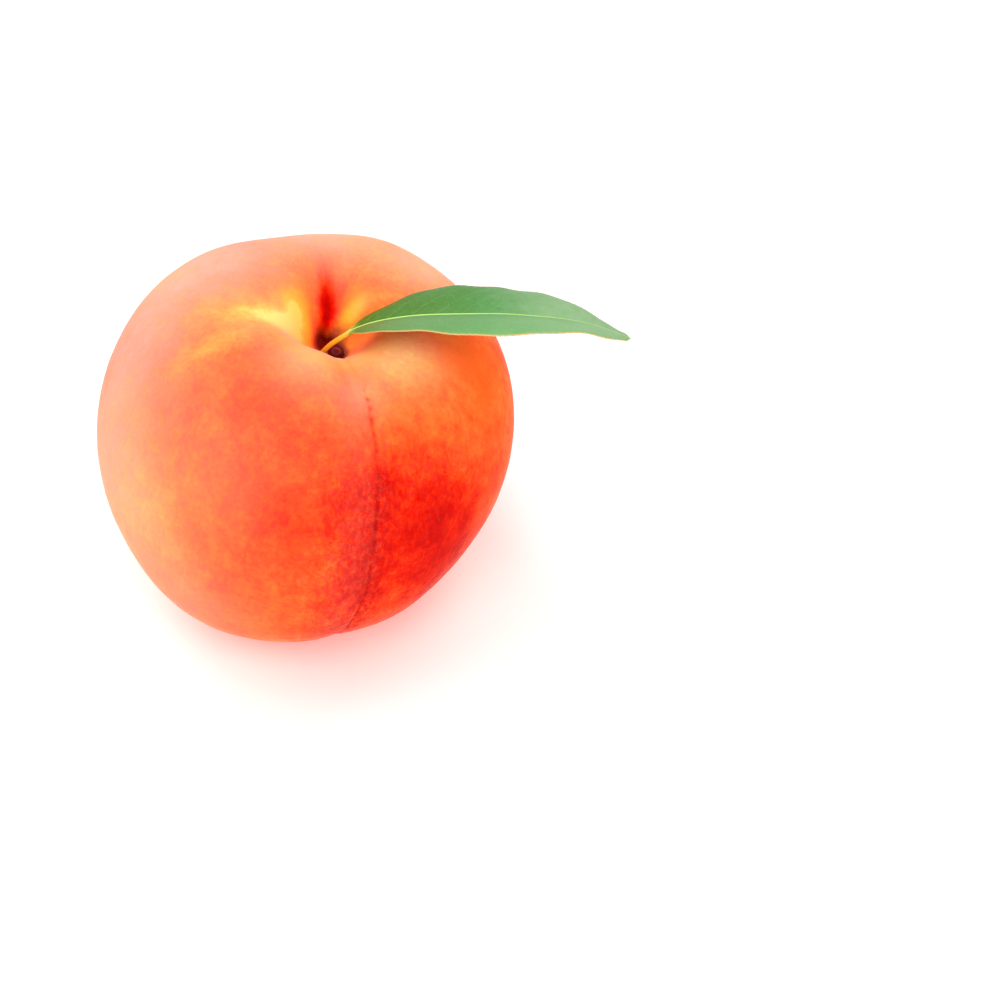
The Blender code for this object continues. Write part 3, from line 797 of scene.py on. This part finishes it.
def leaf_material():
    m = Nodes("leaf_blade")
    obj = m.coords()
    along = m.att("along")
    across = m.att("across_mm")
    a = m.math("ABSOLUTE", across)
    upper = m.remap(m.att("upper"), -0.5, 0.5)
    blade = m.remap(along, -0.02, 0.05)
    # side veins: the same rule as the relief
    lean = m.add(m.mul(a, 0.75), m.mul(m.mul(a, a), 0.026))
    run = m.math("SUBTRACT", m.mul(along, 52.5), lean)
    phase = m.math("ADD", m.math("DIVIDE", run, VEIN_SPACING * 1000),
                   m.mul(m.math("GREATER_THAN", across, 0.0), 0.42))
    f = m.math("FRACT", m.math("ADD", phase, m.mul(m.noise(obj, 240, 2), 0.05)))
    near = m.math("MINIMUM", f, m.math("SUBTRACT", 1.0, f))
    vein = m.remap(near, 0.012, 0.040, 1.0, 0.0)
    vein = m.mul(vein, m.remap(m.att("to_margin"), 0.80, 0.97, 1.0, 0.0))
    # smaller net between them
    net = m.remap(m.voronoi(obj, 780, "DISTANCE_TO_EDGE"), 0.015, 0.075, 1.0, 0.0)
    net2 = m.remap(m.voronoi(obj, 2100, "DISTANCE_TO_EDGE"), 0.02, 0.11, 1.0, 0.0)
    rib_width = m.remap(along, 0.0, 1.0, 0.27, 0.07, smooth=False)
    rib = m.remap(m.math("SUBTRACT", a, rib_width), -0.06, 0.08, 1.0, 0.0)
    rib = m.mul(rib, m.remap(along, 0.35, 1.0, 1.0, 0.45))
    n_big = m.noise(obj, 160, 3, 0.55)
    n_mid = m.noise(obj, 620, 3, 0.6)
    n_fine = m.noise(obj, 3200, 2, 0.6)
    # upper face: leaf green, painted darker at the stalk end as shade and paler towards the tip as painted reflection
    green = m.colours(m.add(m.remap(along, 0.0, 0.5, 0.12, 0.58, smooth=False), m.remap(along, 0.42, 0.82, 0.0, 0.36), m.mul(n_big, 0.14),
                            m.mul(n_mid, 0.09), m.mul(n_fine, 0.05)), (
        (0.0, (0.090, 0.125, 0.000, 1)), (0.20, (0.052, 0.145, 0.006, 1)), (0.58, (0.066, 0.232, 0.062, 1)), (1.0, (0.225, 0.400, 0.215, 1)),
    ))
    under = m.colours(m.add(0.5, m.mul(n_big, 0.2), m.mul(n_mid, 0.1)), (
        (0.0, srgb(96, 142, 78)), (1.0, srgb(134, 172, 112)),
    ))
    col = m.mix(upper, under, green)
    # near half painted lighter than the far half, as painted light on the fold
    near_half_lit = m.remap(across, -0.4, 0.4, 1.0, 0.0)
    col = m.mix(m.mul(near_half_lit, m.remap(along, 0.0, 0.3, 0.18, 0.42)), col, (0.16, 0.40, 0.15, 1))
    pale = m.mix(upper, srgb(166, 190, 126), srgb(128, 176, 96))
    col = m.mix(m.mul(net2, 0.06), col, pale)
    col = m.mix(m.mul(net, 0.10), col, pale)
    col = m.mix(m.mul(vein, 0.20), col, pale)
    col = m.mix(rib, col, srgb(180, 226, 118))
    # thin yellow to pink rim of the margin
    rim = m.remap(m.att("to_margin"), 0.965, 0.995)
    col = m.mix(m.mul(m.mul(rim, blade), 0.75), col, srgb(214, 170, 110))
    # stalk: yellow at its foot, green where the blade begins
    stalk = m.colours(m.remap(along, -0.12, 0.02, smooth=False), (
        (0.0, srgb(194, 116, 18)), (0.5, srgb(212, 150, 30)), (1.0, srgb(190, 198, 80)),
    ))
    col = m.mix(blade, stalk, col)
    m.link(col, m.shader.inputs["Base Color"])
    m.link(m.remap(n_mid, -1, 1, 0.36, 0.50), m.shader.inputs["Roughness"])
    m.shader.inputs["Specular IOR Level"].default_value = 0.16
    height = m.add(m.mul(vein, -0.8), m.mul(net, -0.5), m.mul(net2, -0.2), m.mul(n_fine, 0.15))
    m.link(m.bump(height, 0.00006, 0.7), m.shader.inputs["Normal"])
    return m.mat


leaf = build_leaf()
leaf.data.materials.append(leaf_material())
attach(leaf, "root")
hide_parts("leaf")


# ------------------------------------------------------------------- stage
def build_floor():
    size = 3.0
    obj = mesh_object("floor", [(-size, -size, 0), (size, -size, 0), (size, size, 0), (-size, size, 0)], [(0, 1, 2, 3)])
    m = Nodes("floor_white")
    n = m.noise(m.coords(), 3.0, 2)
    m.link(m.colours(m.remap(n, -1, 1), ((0.0, (0.95, 0.95, 0.95, 1)), (1.0, (0.97, 0.97, 0.97, 1)))),
           m.shader.inputs["Base Color"])
    m.shader.inputs["Roughness"].default_value = 0.9
    m.shader.inputs["Specular IOR Level"].default_value = 0.1
    obj.data.materials.append(m.mat)


build_floor()


def area_light(name, place_, aim, size, power, colour=(1, 1, 1)):
    light = bpy.data.lights.new(name, "AREA")
    light.shape = "DISK"
    light.size = size
    light.energy = power
    light.color = colour
    obj = bpy.data.objects.new(name, light)
    obj.location = place_
    obj.rotation_euler = (Vector(aim) - Vector(place_)).to_track_quat("-Z", "Y").to_euler()
    bpy.context.scene.collection.objects.link(obj)
    return obj


def ring_light(name, azimuth, elevation, power, size=0.5, colour=(1, 1, 1)):
    """A disc a metre from the fruit."""
    az, el = radians(azimuth), radians(elevation)
    area_light(name, (cos(el) * cos(az), cos(el) * sin(az), sin(el) + 0.03), (0, 0, 0.03), size, power, colour)


ring_light("top_left", 172, 60, 5.8, 1.3)
ring_light("back_left", 130, 50, 1.6)
ring_light("front_middle", -92, 46, 7.0, 0.7, (1.0, 0.80, 0.78))
ring_light("back_right", 38, 55, 1.7)
ring_light("right", -30, 28, 2.0, 0.5, (1.0, 0.85, 0.82))

world = bpy.data.worlds.new("studio")
world.use_nodes = True
world.node_tree.nodes["Background"].inputs["Color"].default_value = (1, 0.89, 0.86, 1)
world.node_tree.nodes["Background"].inputs["Strength"].default_value = 0.64
bpy.context.scene.world = world

# --------------------------------------------------------------- camera
ELEVATION = radians(47)
DISTANCE = 0.75
SPAN = 0.183                      # metres across the picture at the fruit
towards = Vector((0, -cos(ELEVATION), sin(ELEVATION)))
right = Vector((1, 0, 0))
upward = towards.cross(right)
camera = bpy.data.cameras.new("camera")
camera.sensor_width = 36
camera.lens = 36 * DISTANCE / SPAN
camera.clip_start = 0.01
cam = bpy.data.objects.new("camera", camera)
turn = Matrix((right, upward, towards)).transposed().to_4x4()
# the fruit stands left of the middle and a little above it
turn.translation = Vector(FRUIT_CENTRE) + towards * DISTANCE + right * 0.1945 * SPAN - upward * 0.0635 * SPAN
cam.matrix_world = turn
bpy.context.scene.collection.objects.link(cam)
bpy.context.scene.camera = cam
bpy.context.scene.view_settings.view_transform = "Standard"
bpy.context.scene.view_settings.look = "None"
